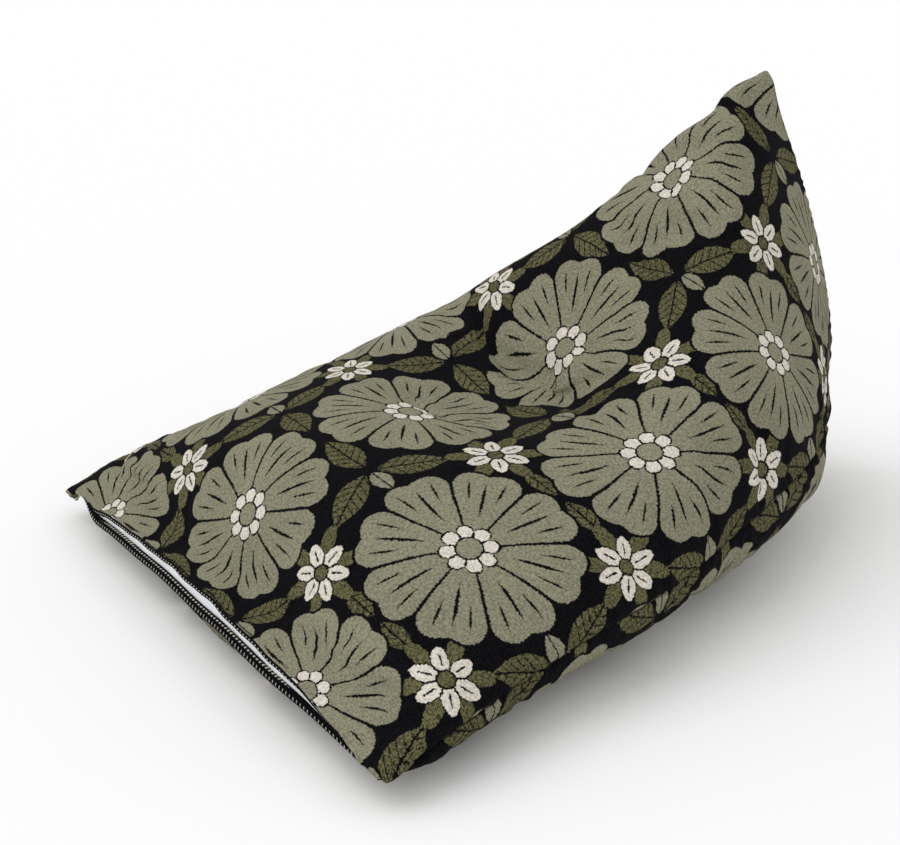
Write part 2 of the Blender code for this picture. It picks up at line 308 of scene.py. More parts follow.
def settle(rows, top, under):
    # cloth simulation of the filled bag; returns both grids with its wrinkles on them
    topNumbers, underNumbers = clothBlocks(top)
    points = np.concatenate([top.reshape(-1, 3), under.reshape(-1, 3)])
    faces = np.concatenate([gridFaces(topNumbers), gridFaces(underNumbers[::-1])])
    cloth = newPiece("settling", points, faces.tolist())
    along = rows[:, None] * np.ones(top.shape[1])
    atSeam = np.linspace(-1.0, 1.0, top.shape[1]) ** 2
    atSeam = filling["seamHold"] * fade((atSeam - filling["seamFrom"]) / (1.0 - filling["seamFrom"]))
    footEnd, footOver = filling["footHold"]
    atFoot = np.maximum(1.0 - fade((along - footEnd) / footOver), filling["hold"] + atSeam)
    floorEnd, floorOver = filling["floorHold"]
    onFloor = 1.0 - fade((under[:, :, 2] - floorEnd) / floorOver)
    held = np.ones(len(points))
    held[underNumbers] = np.maximum(atFoot, onFloor)
    held[topNumbers] = atFoot
    held[topNumbers[-1]] = 1.0
    held[underNumbers[-1]] = 1.0
    group = cloth.vertex_groups.new(name="held")
    for number, weight in enumerate(held.tolist()):
        group.add([number], weight, "REPLACE")
    solver = cloth.modifiers.new("Cloth", "CLOTH")
    values = solver.settings
    values.quality = filling["quality"]
    values.mass = filling["mass"]
    values.tension_stiffness = filling["stretch"]
    values.compression_stiffness = filling["stretch"]
    values.shear_stiffness = filling["shear"]
    values.bending_stiffness = filling["bend"]
    values.air_damping = filling["damping"]
    values.shrink_min = -filling["slack"]
    values.vertex_group_mass = "held"
    values.pin_stiffness = 1.0
    values.use_pressure = True
    values.uniform_pressure_force = filling["pressure"]
    values.effector_weights.gravity = 0.0
    solver.collision_settings.use_collision = False
    solver.point_cache.frame_start = 1
    solver.point_cache.frame_end = filling["frames"]
    for number in range(1, filling["frames"] + 1):
        bpy.context.scene.frame_set(number)
    result = bpy.data.meshes.new_from_object(cloth.evaluated_get(bpy.context.evaluated_depsgraph_get()))
    settled = meshPoints(result)
    bpy.data.objects.remove(cloth)
    bpy.data.meshes.remove(result)
    bpy.context.scene.frame_set(1)
    made = []
    for grid, numbers in ((top, topNumbers), (under, underNumbers)):
        moved = settled[numbers] - grid
        far = np.linalg.norm(moved, axis=2)
        print("  cloth moved: mean %.4f, most %.4f m" % (far.mean(), far.max()))
        moved -= soften(moved, filling["softenPasses"])
        far = np.linalg.norm(moved, axis=2, keepdims=True)
        moved *= filling["cap"] * np.tanh(far / filling["cap"]) / np.maximum(far, tiny)
        calm = fade(along / filling["footCalm"])
        calm = calm * fade((bag["panelLength"] - along) / filling["tipCalm"])
        made.append(grid + moved * calm[:, :, None])
    for side in (0, -1):
        made[1][:, side] = made[0][:, side]
    made[1][:, :, 2] = np.maximum(made[1][:, :, 2], 0.0)
    return made


# Skin: the settled cloth at its fine step, with its seams, its zip opening and its corners

skin = {
    "halfColumns": 82,
    "seamColumns": (0.030, 0.024, 0.0185, 0.0140, 0.0105, 0.0075, 0.0050, 0.0028, 0.0012, 0.0),
    "footRows": (0.0, 0.0015, 0.0035, 0.006, 0.009, 0.013, 0.0175, 0.0225),
    "tipRows": (0.024, 0.018, 0.013, 0.009, 0.006, 0.0035, 0.0015, 0.0),
    "rowStep": 0.0058,
    "grooveDepth": 0.0030,            # on each seam
    "grooveWidth": 0.0032,
    "weltRise": 0.0013,               # the seam allowance beside it
    "weltAt": 0.011,
    "weltWidth": 0.007,
    "puckerDepth": 0.0011,            # gathers across it
    "puckerPitch": 0.021,
    "puckerReach": 0.026,
    "puckerFrom": 0.003,
    "puckerDrift": ((1.6, 0.173, 0.0), (1.1, 0.067, 1.0)),  # their unevenness: size, length, shift
    "puckerStrength": (0.65, 0.35, 0.29, 0.7),  # mean, swing, length, shift
    "seamStarts": (0.4, 0.13),        # so the gathers of the seams differ
    "reliefFrom": 0.012,              # the foot edge itself stays plain
    "lipWave": 0.0019,
    "lipRipples": ((1.0, 52.8, -0.9), (0.5, 103.0, 2.1)),  # size, pace, shift
    "lowerWave": 0.0014,
    "lowerRipple": (31.4, -3.14),
    "tipRadius": 0.020,
    "tipThickness": 0.005,
    "tipReach": 0.022,
    "tipFrom": 0.005,
    "cornerPad": 0.7,                 # the padding's reach, as a share of the corner's
    "cornerFrom": 0.004,
    "lipPlain": 0.0085,               # the print runs so far over the lips, black beyond
    "underShift": (0.98, 0.11),       # where the underside panel lies on the print
}
lipProfile = [  # out from and up from the foot line, from the top panel's edge to the underside's
    (0.0035, 0.0098), (0.0070, 0.0090), (0.0098, 0.0074), (0.0112, 0.0050), (0.0108, 0.0026),
    (0.0088, 0.0010), (0.0060, 0.0005), (0.0030, 0.0005), (0.0030, -0.0104), (0.0030, -0.0212),
    (0.0052, -0.0208), (0.0078, -0.0202), (0.0100, -0.0206), (0.0112, -0.0222), (0.0118, -0.0240),
    (0.0134, -0.0232), (0.0154, -0.0236), (0.0167, -0.0254), (0.0163, -0.0275), (0.0142, -0.0292),
    (0.0102, -0.0300), (0.0060, -0.0302),
]
grooveRow = 7                         # the groove's ceiling; its floor is two rows on
edgeRow = 17                          # the lower lip's outermost row
footCorners = [  # across, radius, how far it is drawn out past the foot and the seam, reach, thickness
    (-0.5, 0.018, 0.0085, 0.0085, 0.044, 0.012),
    (0.5, 0.052, 0.0180, 0.0100, 0.058, 0.012),
]


def columnPlaces():
    body = np.linspace(0.0, bag["seamAcross"] - skin["seamColumns"][0], skin["halfColumns"] + 1)[:-1]
    half = np.concatenate([body, bag["seamAcross"] - np.array(skin["seamColumns"])])
    return np.concatenate([-half[:0:-1], half])


def rowPlaces():
    start = skin["footRows"][-1]
    end = bag["panelLength"] - skin["tipRows"][0]
    count = int(round((end - start) / skin["rowStep"]))
    body = np.linspace(start, end, count + 1)[1:-1]
    return np.concatenate([skin["footRows"], body, bag["panelLength"] - np.array(skin["tipRows"])])


def resample(grid, rows, columns, toRows, toColumns):
    fine = smoothCurve(rows, grid.reshape(len(rows), -1), toRows)
    fine = fine.reshape(len(toRows), len(columns), 3).transpose(1, 0, 2)
    fine = smoothCurve(columns, fine.reshape(len(columns), -1), toColumns)
    return fine.reshape(len(toColumns), len(toRows), 3).transpose(1, 0, 2)


def pucker(run, reach):
    # small gathers beside a seam, uneven along it
    phase = 2.0 * math.pi * run / skin["puckerPitch"]
    for size, length, shift in skin["puckerDrift"]:
        phase = phase + size * np.sin(2.0 * math.pi * run / length + shift)
    mean, swing, length, shift = skin["puckerStrength"]
    strength = mean + swing * np.sin(2.0 * math.pi * run / length + shift)
    return skin["puckerDepth"] * strength * np.sin(phase) * reach


def seamRelief(rows, columns):
    # height above the smooth panel: a groove on each seam, a welt beside it, gathers across it
    along = rows[:, None]
    across = columns[None, :]
    height = np.zeros((len(rows), len(columns)))
    side = bag["seamAcross"] - np.abs(across)
    back = bag["panelLength"] - along
    sideStart, backStart = skin["seamStarts"]
    for gap, run in ((side, along + sideStart * np.sign(across)), (back, np.abs(across) + backStart)):
        groove = -skin["grooveDepth"] * np.exp(-(gap / skin["grooveWidth"]) ** 2)
        welt = skin["weltRise"] * np.exp(-((gap - skin["weltAt"]) / skin["weltWidth"]) ** 2)
        reach = np.exp(-(gap / skin["puckerReach"]) ** 2) * fade(gap / skin["puckerFrom"])
        height = height + groove + welt + pucker(run, reach)
    return height * fade(along / skin["reliefFrom"])


def footShares(x):
    # how far the lips stand out, and part, at places across the foot; nothing past the table's ends
    table = np.array(foot)
    first, last = table[0, 0], table[-1, 0]
    shares = np.clip(smoothCurve(table[:, 0], table[:, 1:], np.clip(x, first, last)), 0.0, 1.0)
    shares[(x <= first) | (x >= last)] = 0.0
    return shares[:, 0], shares[:, 1]


def openFoot(rows, top, under):
    # parts the panels over and under the zip, and returns the rows of the two lips and the groove
    line = top[0].copy()
    share, parted = footShares(line[:, 0])
    close = (bag["gapHeight"] - bag["gapLeast"]) * (1.0 - parted)
    near = 1.0 - fade(rows / bag["lipReach"])
    wave = sum(size * np.sin(line[:, 0] * pace + shift) for size, pace, shift in skin["lipRipples"])
    wave = skin["lipWave"] * wave * parted
    pace, shift = skin["lowerRipple"]
    lift = skin["lowerWave"] * (1.0 + np.cos(line[:, 0] * pace + shift)) * parted
    top[:, :, 2] += (bag["upperLipRise"] + wave - close)[None, :] * near[:, None] * share[None, :]
    under[:, :, 2] -= (bag["lowerLipDrop"] - lift)[None, :] * near[:, None] * share[None, :]
    under[:, :, 2] = np.maximum(under[:, :, 2], 0.0)
    profile = []
    for out, up in lipProfile:
        row = line.copy()
        row[:, 1] -= out * share
        level = min(max((up - bag["gapFloor"]) / bag["gapHeight"], 0.0), 1.0)
        row[:, 2] += (up + (wave - close) * level + lift * (1.0 - level)) * share
        profile.append(row)
    return profile


def roundedOff(first, second, radius, alongFirst, alongSecond):
    # the shift that rounds off a square corner of the cloth, from distances along its two edges
    u = np.clip(1.0 - first / radius, 0.0, 1.0)
    v = np.clip(1.0 - second / radius, 0.0, 1.0)
    drawn = 1.0 - np.maximum(u, v) / np.maximum(np.hypot(u, v), tiny)
    drawn = np.where(np.minimum(u, v) > 0.0, drawn, 0.0) * radius
    return (u * drawn)[:, :, None] * alongFirst + (v * drawn)[:, :, None] * alongSecond


def shapeTip(rows, columns, top):
    # the tip is rounded off, and its seam allowances pad it
    middle = len(columns) // 2
    gap = np.abs(columns)[None, :]
    back = (bag["panelLength"] - rows)[:, None]
    downSeam = top[-1, int(np.argmin(np.abs(columns - skin["tipRadius"])))] - top[-1, middle]
    downCrown = top[int(np.argmin(np.abs(back - skin["tipRadius"]))), middle] - top[-1, middle]
    downSeam = downSeam / np.linalg.norm(downSeam)
    downCrown = downCrown / np.linalg.norm(downCrown)
    thick = skin["tipThickness"] * np.exp(-(gap ** 2 + back ** 2) / skin["tipReach"] ** 2)
    thick = thick * fade(back / skin["tipFrom"])
    top += outward(top) * thick[:, :, None]
    top += roundedOff(gap, back, skin["tipRadius"], downSeam, downCrown)


def shapeCorners(rows, columns, top, strip, under):
    # blunt, thick foot corners: their square is rounded off, drawn out and padded
    for place, radius, pastFoot, pastSeam, reach, thickness in footCorners:
        side = 0 if place < 0.0 else -1
        inner = int(np.argmin(np.abs(np.abs(columns - place) - radius)))
        upRow = int(np.argmin(np.abs(rows - radius)))
        alongSide = top[upRow, side] - top[0, side]
        alongSide = alongSide / np.linalg.norm(alongSide)
        alongFoot = top[0, inner] - top[0, side]
        alongFoot = alongFoot / np.linalg.norm(alongFoot)
        out = -pastFoot * alongSide - pastSeam * alongFoot
        gap = np.abs(columns - place)[None, :]
        along = rows[:, None]
        thick = thickness * np.exp(-(gap ** 2 + along ** 2) / (skin["cornerPad"] * reach) ** 2)
        thick = thick * fade(gap / skin["cornerFrom"]) * fade(along / skin["cornerFrom"])
        top += outward(top) * thick[:, :, None]
        under[:, 1:-1] -= (outward(under) * thick[:, :, None])[:, 1:-1]
        for places, grids in ((along, (top, under)), (np.zeros((len(strip), 1)), (strip,))):
            drawn = np.exp(-(gap ** 2 + places ** 2) / reach ** 2)[:, :, None] * out
            shift = roundedOff(gap, places, radius, alongFoot, alongSide) + drawn
            for grid in grids:
                grid += shift


def joinRows(columns, top, strip, under):
    # vertex numbers of the whole skin, tip to foot to back; rows and columns that meet share theirs
    grid = np.concatenate([top[::-1], strip, under])
    numbers = numbered(grid)
    middle = len(columns) // 2
    topCount = len(top)
    stripEnd = topCount + len(strip)
    closed = footShares(top[0, :, 0])[0] == 0.0
    numbers[topCount:stripEnd + 1, closed] = numbers[topCount - 1, closed]
    for side in (0, -1):
        numbers[stripEnd:, side] = numbers[:topCount, side][::-1]
    for row in (0, -1):
        numbers[row, middle + 1:] = numbers[row, :middle][::-1]
    return grid, numbers


def buildSkin(rows, columns, top, under):
    # the whole skin, with its place on the print as uv and its gap from the seams as an attribute
    strip = np.array(openFoot(rows, top, under))
    relief = seamRelief(rows, columns)[:, :, None]
    top += outward(top) * relief
    under[:, 1:-1] -= (outward(under) * relief)[:, 1:-1]
    under[:, :, 2] = np.maximum(under[:, :, 2], 0.0)
    for panel in (top, under):
        panel[-1, :, 0] = 0.0
    shapeTip(rows, columns, top)
    shapeCorners(rows, columns, top, strip, under)
    grid, numbers = joinRows(columns, top, strip, under)
    edge = np.concatenate([top[:1], strip, under[:1]])
    run = np.cumsum(np.linalg.norm(np.diff(edge, axis=0), axis=2), axis=0)
    along = np.zeros(grid.shape[:2])
    along[:len(rows)] = rows[::-1, None]
    along[len(rows):-len(rows)] = -np.minimum(run[:-1], run[-1:] - run[:-1] + skin["lipPlain"])
    along[-len(rows):] = rows[:, None]
    across = np.broadcast_to(columns, grid.shape[:2])
    corners = gridFaces(numbered(grid))[:, ::-1]
    printed = np.stack([across, along], axis=2).reshape(-1, 2)[corners]
    onUnder = corners.max(axis=1) // grid.shape[1] > len(rows) + len(strip) - 1
    printed[onUnder] = np.array(skin["underShift"]) + printed[onUnder] * [-1.0, 1.0]
    faces = []
    places = []
    for face, place in zip(numbers.ravel()[corners].tolist(), printed.tolist()):
        kept = [i for i in range(4) if face[i] != face[i - 1]]
        if len(kept) > 2 and len(set(face)) == len(kept):
            faces.append([face[i] for i in kept])
            places.extend(place[i] for i in kept)
    used, renumbered = np.unique(np.concatenate(faces), return_inverse=True)
    sizes = np.cumsum([len(face) for face in faces])[:-1]
    faces = [part.tolist() for part in np.split(renumbered, sizes)]
    made = newPiece("bag_skin", grid.reshape(-1, 3)[used], faces)
    layer = made.data.uv_layers.new(name="cloth")
    layer.data.foreach_set("uv", np.array(places, np.float32).ravel())
    side = bag["seamAcross"] - np.abs(across)
    back = bag["panelLength"] - np.maximum(along, 0.0)
    gap = np.minimum(side, back).ravel()[used].astype(np.float32)
    made.data.attributes.new("seam", "FLOAT", "POINT").data.foreach_set("value", gap)
    made.data.shade_smooth()
    return made, strip


# Shader building

class Look:
    # a material being drawn: node() adds a node and gives one of its outputs, dress() fills the shader

    def __init__(self, name):
        self.material = bpy.data.materials.new(name)
        self.material.use_nodes = True
        self.tree = self.material.node_tree
        self.surface = self.tree.nodes["Principled BSDF"]

    def node(self, kind, settings=None, values=None, output=0):
        made = self.tree.nodes.new("ShaderNode" + kind)
        for name, value in (settings or {}).items():
            if name == "curve":
                self.shapeCurve(made.mapping, value)
            else:
                setattr(made, name, value)
        pairs = values.items() if isinstance(values, dict) else enumerate(values or [])
        for name, value in pairs:
            self.feed(made.inputs[name], value)
        return Flow(self, made.outputs[output])

    def feed(self, socket, value):
        if isinstance(value, Flow):
            self.tree.links.new(value.socket, socket)
        else:
            socket.default_value = value

    def shapeCurve(self, mapping, points):
        line = mapping.curves[0]
        for _ in points[2:]:
            line.points.new(0.5, 0.5)
        for knot, place in zip(line.points, points):
            knot.location = place
        mapping.update()

    def blend(self, share, first, second):
        return self.node("Mix", {"data_type": "RGBA"}, {0: share, 6: first, 7: second}, 2)

    def dress(self, values):
        for name, value in values.items():
            self.feed(self.surface.inputs[name], value)
        return self.material


class Flow:
    # a socket in sums: each operator adds its Math node

    def __init__(self, look, socket):
        self.look = look
        self.socket = socket

    def math(self, operation, *terms, clamp=False):
        return self.look.node("Math", {"operation": operation, "use_clamp": clamp}, [self, *terms])

    def vector(self, operation, *terms, output=0):
        return self.look.node("VectorMath", {"operation": operation}, [self, *terms], output)

    def __add__(self, other):
        return self.math("ADD", other)

    __radd__ = __add__

    def __sub__(self, other):
        return self.math("SUBTRACT", other)

    def __rsub__(self, other):
        return self.look.node("Math", {"operation": "SUBTRACT"}, [other, self])

    def __mul__(self, other):
        return self.math("MULTIPLY", other)

    __rmul__ = __mul__

    def __neg__(self):
        return self.math("MULTIPLY", -1.0)

    def __abs__(self):
        return self.math("ABSOLUTE")

    def least(self, other):
        return self.math("MINIMUM", other)

    def most(self, other):
        return self.math("MAXIMUM", other)

    def fromLines(self, halfPitch):
        # distance from the nearest of evenly spaced lines
        return abs(self.math("WRAP", halfPitch, -halfPitch))

    def inside(self, softness=0.0005):
        # 1 where a distance is above nought
        return self.math("MULTIPLY_ADD", 1.0 / softness, 0.5, clamp=True)

    def along(self, points):
        # the height of a curve at this place
        return self.look.node("FloatCurve", {"curve": points}, {"Value": self})

    def length(self):
        return self.vector("LENGTH", output=1)

    def split(self):
        x = self.look.node("SeparateXYZ", None, [self])
        return x, Flow(self.look, x.socket.node.outputs[1])


# Print of the woven cloth

motifs = {  # metres on the flat cloth; a margin is black round a motif, a slit a black line in it
    "columnStep": 0.320,              # from a column of blossoms to the next, half a step on
    "alongStep": 0.305,               # from a blossom to the next in its column
    "firstBlossom": 0.150,            # in the middle column, along the cloth
    "weaveStep": 0.0012,              # edges step from yarn to yarn
    "drift": (0.006, 11.0),           # how far the motifs wander, and how closely
    "ragged": (0.0028, 330.0),        # how unevenly the weave follows their edges
    "turnCell": (0.01, 0.0037),       # grid that each blossom draws its turn by, and its shift
    "blossomRadius": 0.143,
    "blossomMargin": 0.0042,
    "petals": 8,
    "petalSlit": (0.013, 0.0010),     # half its width: a share of the radius, and that much more
    "rib": (0.088, 0.034, 0.0022),    # line up a petal: its middle, half its length and width
    "strokes": (0.107, 0.022, 0.0017),    # and the two beside it
    "strokesAt": 0.19,
    "lineTaper": 0.10,
    "ringRadius": 0.037,
    "ringMargin": 0.0030,
    "ringSlit": 0.0016,
    "eyeRadius": 0.016,
    "eyeMargin": 0.0026,
    "starRadius": 0.046,
    "starMargin": 0.0034,
    "starPetals": 6,
    "starSlit": 0.0016,
    "starInner": 0.0130,
    "starMark": (0.027, 0.009, 0.0012),   # as a rib
    "pipRadius": 0.0102,
    "calyxRadius": 0.067,
    "slantLeaf": (0.010, 0.098, 0.0215),  # its start, its length and half its width
    "innerLeaf": (0.010, 0.092, 0.0215),
    "starLeaf": (0.058, 0.060, 0.014),
    "midrib": 0.0013,
    "veins": (0.9, 0.0068, 0.0010),   # slant, half their pitch, half their width
    "bud": (0.006, 0.046, 0.0135),
    "budMargin": 0.0026,
    "budSlit": 0.0011,
}
petalTip = [(0.0, 0.955), (0.12, 0.975), (0.35, 1.0), (0.62, 0.985), (0.84, 0.915), (1.0, 0.79)]
ringTip = [(0.0, 1.0), (0.45, 0.97), (0.8, 0.84), (1.0, 0.70)]
starTip = [(0.0, 1.0), (0.15, 0.97), (0.5, 0.80), (0.8, 0.60), (1.0, 0.50)]
calyxTip = [(0.0, 0.40), (0.4, 0.55), (0.75, 0.92), (0.9, 1.0), (1.0, 1.0)]
leafBlade = [
    (0.0, 0.0), (0.10, 0.42), (0.28, 0.86), (0.45, 1.0), (0.65, 0.84), (0.86, 0.36), (1.0, 0.0),
]
columnStep = motifs["columnStep"]
halfStep = motifs["alongStep"] / 2
# three blossoms leave a free space, this far beside the gap between two of a column
spaceAt = (columnStep ** 2 - halfStep ** 2) / (2.0 * columnStep)


def repeated(place, acrossShift=0.0, alongShift=0.0):
    # the place as seen from the nearest centre of a plain grid, two columns wide and one blossom long
    shifted = place.vector("ADD", (acrossShift, alongShift, 0.0))
    limits = (columnStep, halfStep, 1.0)
    return shifted.vector("WRAP", limits, [-limit for limit in limits])


def spokeShare(x, y, folds, turn):
    # distance from a centre's nearest spoke as a share, 0 on the spoke and 1 between two spokes
    half = math.pi / folds
    return (y.math("ARCTAN2", x) + turn).fromLines(half) * (1.0 / half)


def lineUp(radius, beside, middle, halfLength, halfWidth):
    # distance from a line up a petal, which tapers to both ends
    run = halfLength - abs(radius - middle)
    return beside - (run * motifs["lineTaper"]).least(halfWidth)


def drawLeaf(run, side, start, length, halfWidth):
    blade = ((run - start) * (1.0 / length)).along(leafBlade) * halfWidth - side
    slant, halfPitch, halfVein = motifs["veins"]
    veins = (run - side * slant).fromLines(halfPitch) - halfVein
    return blade.least(side - motifs["midrib"]).least(veins)


def wovenPlace(look, place):
    # the place on the print, stepped from yarn to yarn and a little adrift
    step = motifs["weaveStep"]
    woven = place.vector("SNAP", (step, step, 1.0))
    moved = woven
    for detail, (far, scale) in ((1.0, motifs["drift"]), (0.0, motifs["ragged"])):
        values = {"Vector": woven, "Scale": scale, "Detail": detail}
        noise = look.node("TexNoise", {"noise_dimensions": "2D"}, values, 1)
        moved = noise.vector("MULTIPLY_ADD", (far, far, 0.0), moved)
    return moved.vector("SUBTRACT", (0.0, motifs["firstBlossom"], 0.0))


def drawBlossoms(look, place):
    # petals with their eye, the ring between them, and what is clear of the blossoms
    inMiddle = repeated(place)
    inNext = repeated(place, columnStep, halfStep)
    nearer = inNext.length().math("LESS_THAN", inMiddle.length())
    local = look.node("Mix", {"data_type": "VECTOR"}, {0: nearer, 4: inMiddle, 5: inNext}, 1)
    cellStep, cellShift = motifs["turnCell"]
    cell = place.vector("SUBTRACT", local).vector("ADD", (cellShift, cellShift, 0.0))
    cell = cell.vector("SNAP", (cellStep, cellStep, 1.0))
    chance = look.node("TexWhiteNoise", {"noise_dimensions": "2D"}, {"Vector": cell})
    half = math.pi / motifs["petals"]
    radius = local.length()
    spoke = spokeShare(*local.split(), motifs["petals"], chance * (2.0 * half))
    onSpoke = radius * spoke * half
    beside = radius * ((1.0 - spoke) * half).math("SINE")
    tip = spoke.along(petalTip) * motifs["blossomRadius"]
    ringEdge = (1.0 - spoke).along(ringTip) * motifs["ringRadius"]
    slitShare, slitMore = motifs["petalSlit"]
    petal = (tip - radius).least(beside - radius * slitShare - slitMore)
    petal = petal.least(radius - ringEdge - motifs["ringMargin"])
    petal = petal.least(lineUp(radius, onSpoke, *motifs["rib"]))
    petal = petal.least(lineUp(radius, abs(onSpoke - radius * motifs["strokesAt"]), *motifs["strokes"]))
    ring = (ringEdge - radius).least(radius - motifs["eyeRadius"] - motifs["eyeMargin"])
    ring = ring.least(onSpoke - motifs["ringSlit"])
    return petal.most(motifs["eyeRadius"] - radius), ring, radius - tip - motifs["blossomMargin"]


def drawStars(place):
    # stars in the spaces beside the next column: petals, calyx, pip, a leaf, and what is clear of them
    x, y = repeated(place, columnStep).split()
    x = abs(x) - spaceAt
    half = math.pi / motifs["starPetals"]
    radius = (x * x + y * y).math("SQRT")
    spoke = spokeShare(x, y, motifs["starPetals"], math.pi / 2)
    edge = spoke.along(starTip) * motifs["starRadius"]
    star = (edge - radius).least(radius * (1.0 - spoke) * half - motifs["starSlit"])
    star = star.least(radius - motifs["starInner"])
    middle, halfLength, halfWidth = motifs["starMark"]
    star = star.least((radius * spoke * half - halfWidth).most(abs(radius - middle) - halfLength))
    calyx = spoke.along(calyxTip) * motifs["calyxRadius"] - radius
    leaf = drawLeaf(-x, abs(y), *motifs["starLeaf"])
    return star, calyx, motifs["pipRadius"] - radius, leaf, radius - edge - motifs["starMargin"]


def drawSprigs(place):
    # leaves with a bud in the spaces beside the middle column
    x, y = repeated(place, 0.0, halfStep).split()
    x = abs(x) - spaceAt
    y = abs(y)
    slant = math.hypot(columnStep, halfStep)
    lean = halfStep / slant
    reach = columnStep / slant
    leaf = drawLeaf(x * lean + y * reach, abs(x * reach - y * lean), *motifs["slantLeaf"])
    leaf = leaf.most(drawLeaf(-x, y, *motifs["innerLeaf"]))
    start, length, halfWidth = motifs["bud"]
    edge = ((x - start) * (1.0 / length)).along(leafBlade) * halfWidth
    bud = (edge - y).least(y - motifs["budSlit"])
    return leaf, bud, y - edge - motifs["budMargin"]


def drawMotifs(look, place):
    # masks of the sage, cream and olive parts of the print; the ground between them is black
    place = wovenPlace(look, place)
    petal, ring, clear = drawBlossoms(look, place)
    star, calyx, pip, starLeaf, away = drawStars(place)
    leaf, bud, besideBud = drawSprigs(place)
    leaf = leaf.most(starLeaf).least(besideBud)
    olive = leaf.most(calyx).least(clear).least(away).most(pip)
    return petal.most(bud.least(clear)).inside(), ring.most(star).inside(), olive.inside()


# Yarns and weave

yarns = {  # linear colour, how dark and how light the grain makes it, how strongly, and its middle
    "sage": ((0.222, 0.214, 0.148), 0.66, 1.34, 1.1, 0.5),
    "olive": ((0.098, 0.092, 0.045), 0.30, 1.65, 1.2, 0.2),
    "cream": ((0.62, 0.575, 0.50), 0.75, 1.25, 1.0, 0.5),
    "black": ((0.0034, 0.0034, 0.0042), 0.6, 2.0, 1.2, 0.5),
}
weave = {
    "warp": (560.0, 190.0),
    "weft": (190.0, 560.0),
    "patch": (9.0, 14.0),
    "patchShare": 0.30,
    "speckStep": 0.0015,
    "speckShare": 0.42,
    "oliveThreads": (0.6, 0.0013),    # their slant, and half their pitch
    "threadShare": 0.5,
    "twill": 0.0019,
    "tickPitch": 0.0085,              # light woven ticks on the lips
    "tickRows": (0.0125, 0.0385),
    "tickSizes": (0.65, 1.0),
    "tickHalf": (0.0020, 0.0013),
    "tickLight": 0.8,
    "lipSoftness": 0.0008,            # where the print ends on the lips
    "tickSoftness": 0.0006,
    "paintedSeamShade": (0.0026, 0.85),       # painted shade in each seam's groove: half its width, and its share
    "relief": (0.10, 0.9, 0.45, 0.5),     # of the twill, the grain, the specks and the motifs
    "bump": (0.6, 0.0007),            # strength and height
    "finish": {
        "Roughness": 0.95, "Specular IOR Level": 0.02, "Sheen Weight": 0.012,
        "Sheen Roughness": 0.5,
    },
}


def tint(yarn, strength):
    return (*[channel * strength for channel in yarns[yarn][0]], 1.0)


def yarnColour(look, yarn, shade):
    dark, light, strength, middle = yarns[yarn][1:]
    return look.blend(shade * strength + middle, tint(yarn, dark), tint(yarn, light))


def grain(place, scales, detail=0.0):
    # noise about nought, drawn out along the threads where its two scales differ
    values = {"Vector": place.vector("MULTIPLY", (*scales, 0.0)), "Scale": 1.0, "Detail": detail}
    return place.look.node("TexNoise", {"noise_dimensions": "2D"}, values) - 0.5


def bumped(look, height, sizes):
    strength, distance = sizes
    return look.node("Bump", None, {"Strength": strength, "Distance": distance, "Height": height})


def clothLook():
    look = Look("woven_cloth")
    place = look.node("UVMap", {"uv_map": "cloth"})
    sage, cream, olive = drawMotifs(look, place)
    x, y = place.split()
    crossing = place.vector("SNAP", (weave["speckStep"], weave["speckStep"], 1.0))
    speck = look.node("TexWhiteNoise", {"noise_dimensions": "2D"}, {"Vector": crossing}) - 0.5
    warp = grain(place, weave["warp"])
    weft = grain(place, weave["weft"])
    patch = grain(place, weave["patch"], 1.0)
    shade = warp + weft + speck * weave["speckShare"] + patch * weave["patchShare"]
    slant, halfPitch = weave["oliveThreads"]
    threads = (x + y * slant).fromLines(halfPitch) * (1.0 / halfPitch)
    body = (y + skin["lipPlain"]).inside(weave["lipSoftness"])
    colour = yarnColour(look, "black", shade)
    for mask, yarn, yarnShade in (
            (olive, "olive", shade + threads * weave["threadShare"]),
            (sage, "sage", shade),
            (cream, "cream", shade)):
        colour = look.blend(mask * body, colour, yarnColour(look, yarn, yarnShade))
    halfWide, halfHigh = weave["tickHalf"]
    besideTick = x.fromLines(weave["tickPitch"] / 2)
    for row, size in zip(weave["tickRows"], weave["tickSizes"]):
        tick = (halfWide * size - besideTick).least(halfHigh * size - abs(y + row))
        tick = tick.inside(weave["tickSoftness"])
        colour = look.blend(tick, colour, tint("cream", weave["tickLight"]))
    # painted shade: the cloth darkens towards black close to each seam, where shade falls in its groove
    seam = look.node("Attribute", {"attribute_name": "seam"}, None, 2)
    halfWidth, share = weave["paintedSeamShade"]
    paintedSeamShade = seam.math("MULTIPLY_ADD", -1.0 / halfWidth, 1.0, clamp=True)
    colour = look.blend(paintedSeamShade * share, colour, tint("black", 1.0))
    twill = ((x + y) * (2.0 * math.pi / weave["twill"])).math("SINE")
    raised = (sage + cream).least(1.0) * body
    ofTwill, ofGrain, ofSpecks, ofMotifs = weave["relief"]
    height = twill * ofTwill + (warp + weft) * ofGrain + speck * ofSpecks + raised * ofMotifs
    bump = bumped(look, height, weave["bump"])
    return look.dress({"Base Color": colour, "Normal": bump, **weave["finish"]})


# Build of the bag

def buildBag():
    footRows = filling["footRows"]
    count = int(round((bag["panelLength"] - footRows[-1]) / filling["step"]))
    rows = np.linspace(footRows[-1], bag["panelLength"], count + 1)
    rows = np.concatenate([footRows[:-1], rows])
    top, under = panelGrids(rows, filling["columns"])
    top, under = settle(rows, top, under)
    places = np.linspace(-bag["seamAcross"], bag["seamAcross"], 2 * filling["columns"] + 1)
    fineRows = rowPlaces()
    fineColumns = columnPlaces()
    top = resample(top, rows, places, fineRows, fineColumns)
    under = resample(under, rows, places, fineRows, fineColumns)
    return buildSkin(fineRows, fineColumns, top, under)


